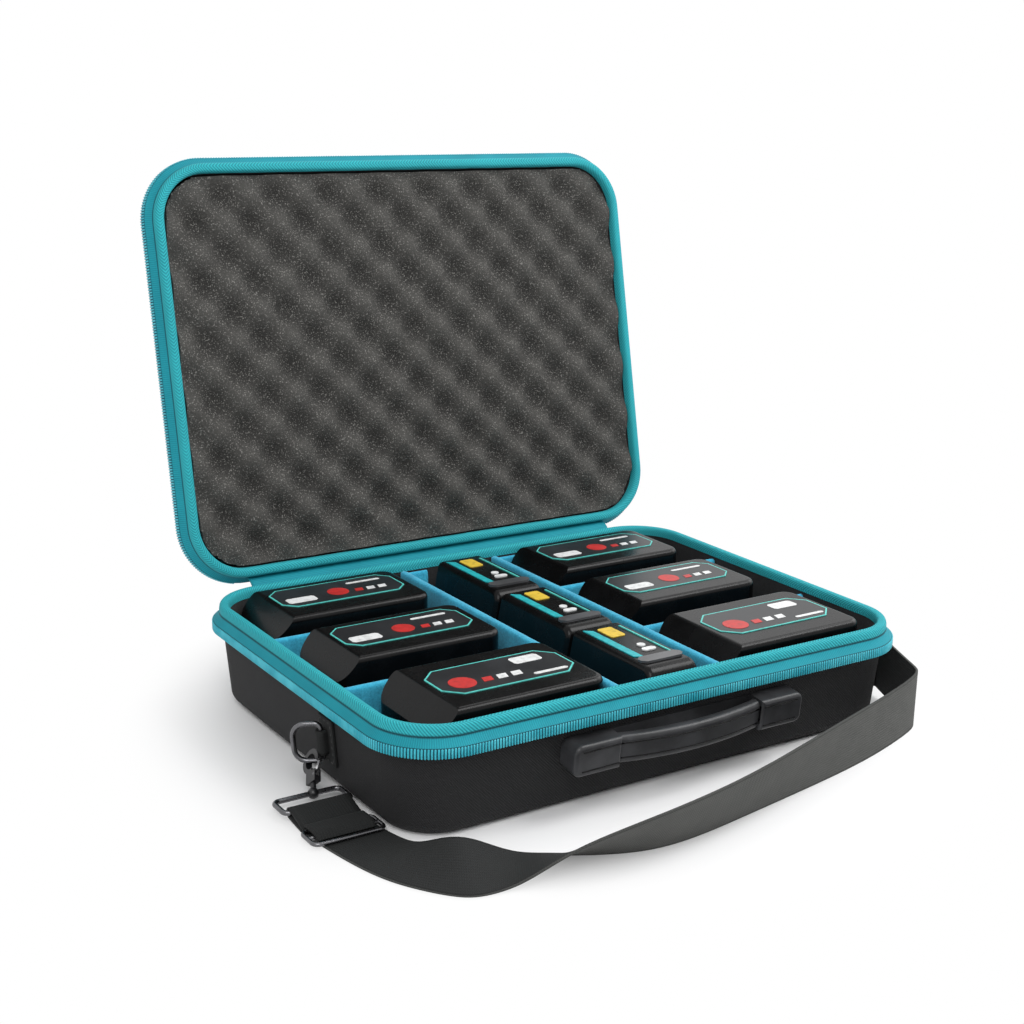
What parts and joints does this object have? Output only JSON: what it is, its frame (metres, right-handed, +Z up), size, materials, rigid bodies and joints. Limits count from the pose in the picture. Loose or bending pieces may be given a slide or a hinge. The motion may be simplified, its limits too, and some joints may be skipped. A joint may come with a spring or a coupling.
{
  "type": "battery storage box",
  "caption": "Zip-rimmed carry case standing open, with foam in its lid, padded dividers holding slide-on battery packs, a front handle and a clip-on shoulder strap.",
  "frame": {"origin": "middle of the base's flat underside", "axes": "+Z up, the carry handle faces -Y, the lid is hinged along +Y, +X is to the right seen from the handle"},
  "size_m": [0.4457, 0.4707, 0.3537],
  "materials": {
    "shell_cloth": "twill cloth over moulded foam",
    "lining_cloth": "brushed lining cloth",
    "rim_binding": "herringbone woven binding",
    "zip_tape": "flat woven tape",
    "zip_coil": "moulded coil teeth",
    "egg_crate_foam": "open-cell foam",
    "divider_felt": "brushed loop felt over foam",
    "handle_plastic": "soft moulded plastic",
    "gunmetal": "dark plated steel",
    "black_metal": "black coated die casting",
    "strap_webbing": "flat woven webbing",
    "pack_plastic": "moulded plastic, semi-gloss"
  },
  "bodies": {
    "case": {"base_hinge_leaf": "zip_tape", "base_lining": "lining_cloth", "base_rim_welt": "rim_binding", "base_shell": "shell_cloth", "base_zip_coil": "zip_coil", "base_zip_tape": "zip_tape", "handle_left_cap": "handle_plastic", "handle_plate": "handle_plastic", "handle_right_cap": "handle_plastic", "handle_rivets": "gunmetal", "left_gate_pin": "gunmetal", "left_snap_hook": "black_metal", "left_strap_loop": "gunmetal", "left_strap_ring": "gunmetal", "left_strap_sleeve": "strap_webbing", "left_strap_tab": "strap_webbing", "left_zip_slider": "gunmetal", "right_gate_pin": "gunmetal", "right_snap_hook": "black_metal", "right_strap_loop": "gunmetal", "right_strap_ring": "gunmetal", "right_strap_sleeve": "strap_webbing", "right_strap_tab": "strap_webbing", "right_zip_slider": "gunmetal", "shoulder_strap": "strap_webbing", "strap_slider": "gunmetal"},
    "lid": {"lid_foam": "egg_crate_foam", "lid_hinge_leaf": "zip_tape", "lid_lining": "lining_cloth", "lid_rim_welt": "rim_binding", "lid_shell": "shell_cloth", "lid_zip_coil": "zip_coil", "lid_zip_tape": "zip_tape"},
    "grip": {"handle_grip": "handle_plastic"},
    "left_gate": {"left_hook_gate": "gunmetal"},
    "right_gate": {"right_hook_gate": "gunmetal"},
    "left_pull": {"left_zip_pull": "gunmetal"},
    "right_pull": {"right_zip_pull": "gunmetal"},
    "centre_front_pack_body": {"centre_front_pack": "pack_plastic"},
    "centre_middle_pack_body": {"centre_middle_pack": "pack_plastic"},
    "centre_rear_pack_body": {"centre_rear_pack": "pack_plastic"},
    "left_front_pack_body": {"left_front_pack": "pack_plastic"},
    "left_middle_pack_body": {"left_middle_pack": "pack_plastic"},
    "left_rear_pack_body": {"left_rear_pack": "pack_plastic"},
    "right_front_pack_body": {"right_front_pack": "pack_plastic"},
    "right_middle_pack_body": {"right_middle_pack": "pack_plastic"},
    "right_rear_pack_body": {"right_rear_pack": "pack_plastic"},
    "left_front_divider_body": {"left_front_divider": "divider_felt"},
    "left_long_divider_body": {"left_long_divider": "divider_felt"},
    "left_rear_divider_body": {"left_rear_divider": "divider_felt"},
    "right_front_divider_body": {"right_front_divider": "divider_felt"},
    "right_long_divider_body": {"right_long_divider": "divider_felt"},
    "right_rear_divider_body": {"right_rear_divider": "divider_felt"}
  },
  "joints": [
    {"name": "lid_hinge", "type": "hinge", "parent": "case", "child": "lid", "pos_m": [0, 0.1455, 0.0704], "axis": [-1, 0, 0], "range_deg": [-102, 0]},
    {"name": "grip_pull", "type": "slide", "parent": "case", "child": "grip", "axis": [0, -1, 0], "range_m": [0, 0.004]},
    {"name": "left_gate_spring", "type": "hinge", "parent": "case", "child": "left_gate", "pos_m": [-0.19764, -0.04859, 0.01416], "axis": [-0.8884, 0.0587, 0.4553], "range_deg": [0, 25], "stiffness_Nm_per_rad": 0.01, "springref_deg": -17.19},
    {"name": "left_pull_swing", "type": "hinge", "parent": "case", "child": "left_pull", "pos_m": [-0.1523, 0.15, 0.0559], "axis": [1, 0, 0], "range_deg": [0, 90]},
    {"name": "right_gate_spring", "type": "hinge", "parent": "case", "child": "right_gate", "pos_m": [0.21081, -0.05157, 0.02517], "axis": [0, -0.4226, 0.9063], "range_deg": [0, 25], "stiffness_Nm_per_rad": 0.01, "springref_deg": -17.19},
    {"name": "right_pull_swing", "type": "hinge", "parent": "case", "child": "right_pull", "pos_m": [0.1523, 0.15, 0.0559], "axis": [1, 0, 0], "range_deg": [0, 90]},
    {"name": "centre_front_pack_lift", "type": "slide", "parent": "case", "child": "centre_front_pack_body", "axis": [0, 0, 1], "range_m": [0, 0.09]},
    {"name": "centre_middle_pack_lift", "type": "slide", "parent": "case", "child": "centre_middle_pack_body", "axis": [0, 0, 1], "range_m": [0, 0.09]},
    {"name": "centre_rear_pack_lift", "type": "slide", "parent": "case", "child": "centre_rear_pack_body", "axis": [0, 0, 1], "range_m": [0, 0.09]},
    {"name": "left_front_pack_lift", "type": "slide", "parent": "case", "child": "left_front_pack_body", "axis": [0, 0, 1], "range_m": [0, 0.09]},
    {"name": "left_middle_pack_lift", "type": "slide", "parent": "case", "child": "left_middle_pack_body", "axis": [0, 0, 1], "range_m": [0, 0.09]},
    {"name": "left_rear_pack_lift", "type": "slide", "parent": "case", "child": "left_rear_pack_body", "axis": [0, 0, 1], "range_m": [0, 0.09]},
    {"name": "right_front_pack_lift", "type": "slide", "parent": "case", "child": "right_front_pack_body", "axis": [0, 0, 1], "range_m": [0, 0.09]},
    {"name": "right_middle_pack_lift", "type": "slide", "parent": "case", "child": "right_middle_pack_body", "axis": [0, 0, 1], "range_m": [0, 0.09]},
    {"name": "right_rear_pack_lift", "type": "slide", "parent": "case", "child": "right_rear_pack_body", "axis": [0, 0, 1], "range_m": [0, 0.09]},
    {"name": "left_front_divider_lift", "type": "slide", "parent": "case", "child": "left_front_divider_body", "axis": [0, 0, 1], "range_m": [0, 0.07]},
    {"name": "left_long_divider_lift", "type": "slide", "parent": "case", "child": "left_long_divider_body", "axis": [0, 0, 1], "range_m": [0, 0.07]},
    {"name": "left_rear_divider_lift", "type": "slide", "parent": "case", "child": "left_rear_divider_body", "axis": [0, 0, 1], "range_m": [0, 0.07]},
    {"name": "right_front_divider_lift", "type": "slide", "parent": "case", "child": "right_front_divider_body", "axis": [0, 0, 1], "range_m": [0, 0.07]},
    {"name": "right_long_divider_lift", "type": "slide", "parent": "case", "child": "right_long_divider_body", "axis": [0, 0, 1], "range_m": [0, 0.07]},
    {"name": "right_rear_divider_lift", "type": "slide", "parent": "case", "child": "right_rear_divider_body", "axis": [0, 0, 1], "range_m": [0, 0.07]}
  ]
}
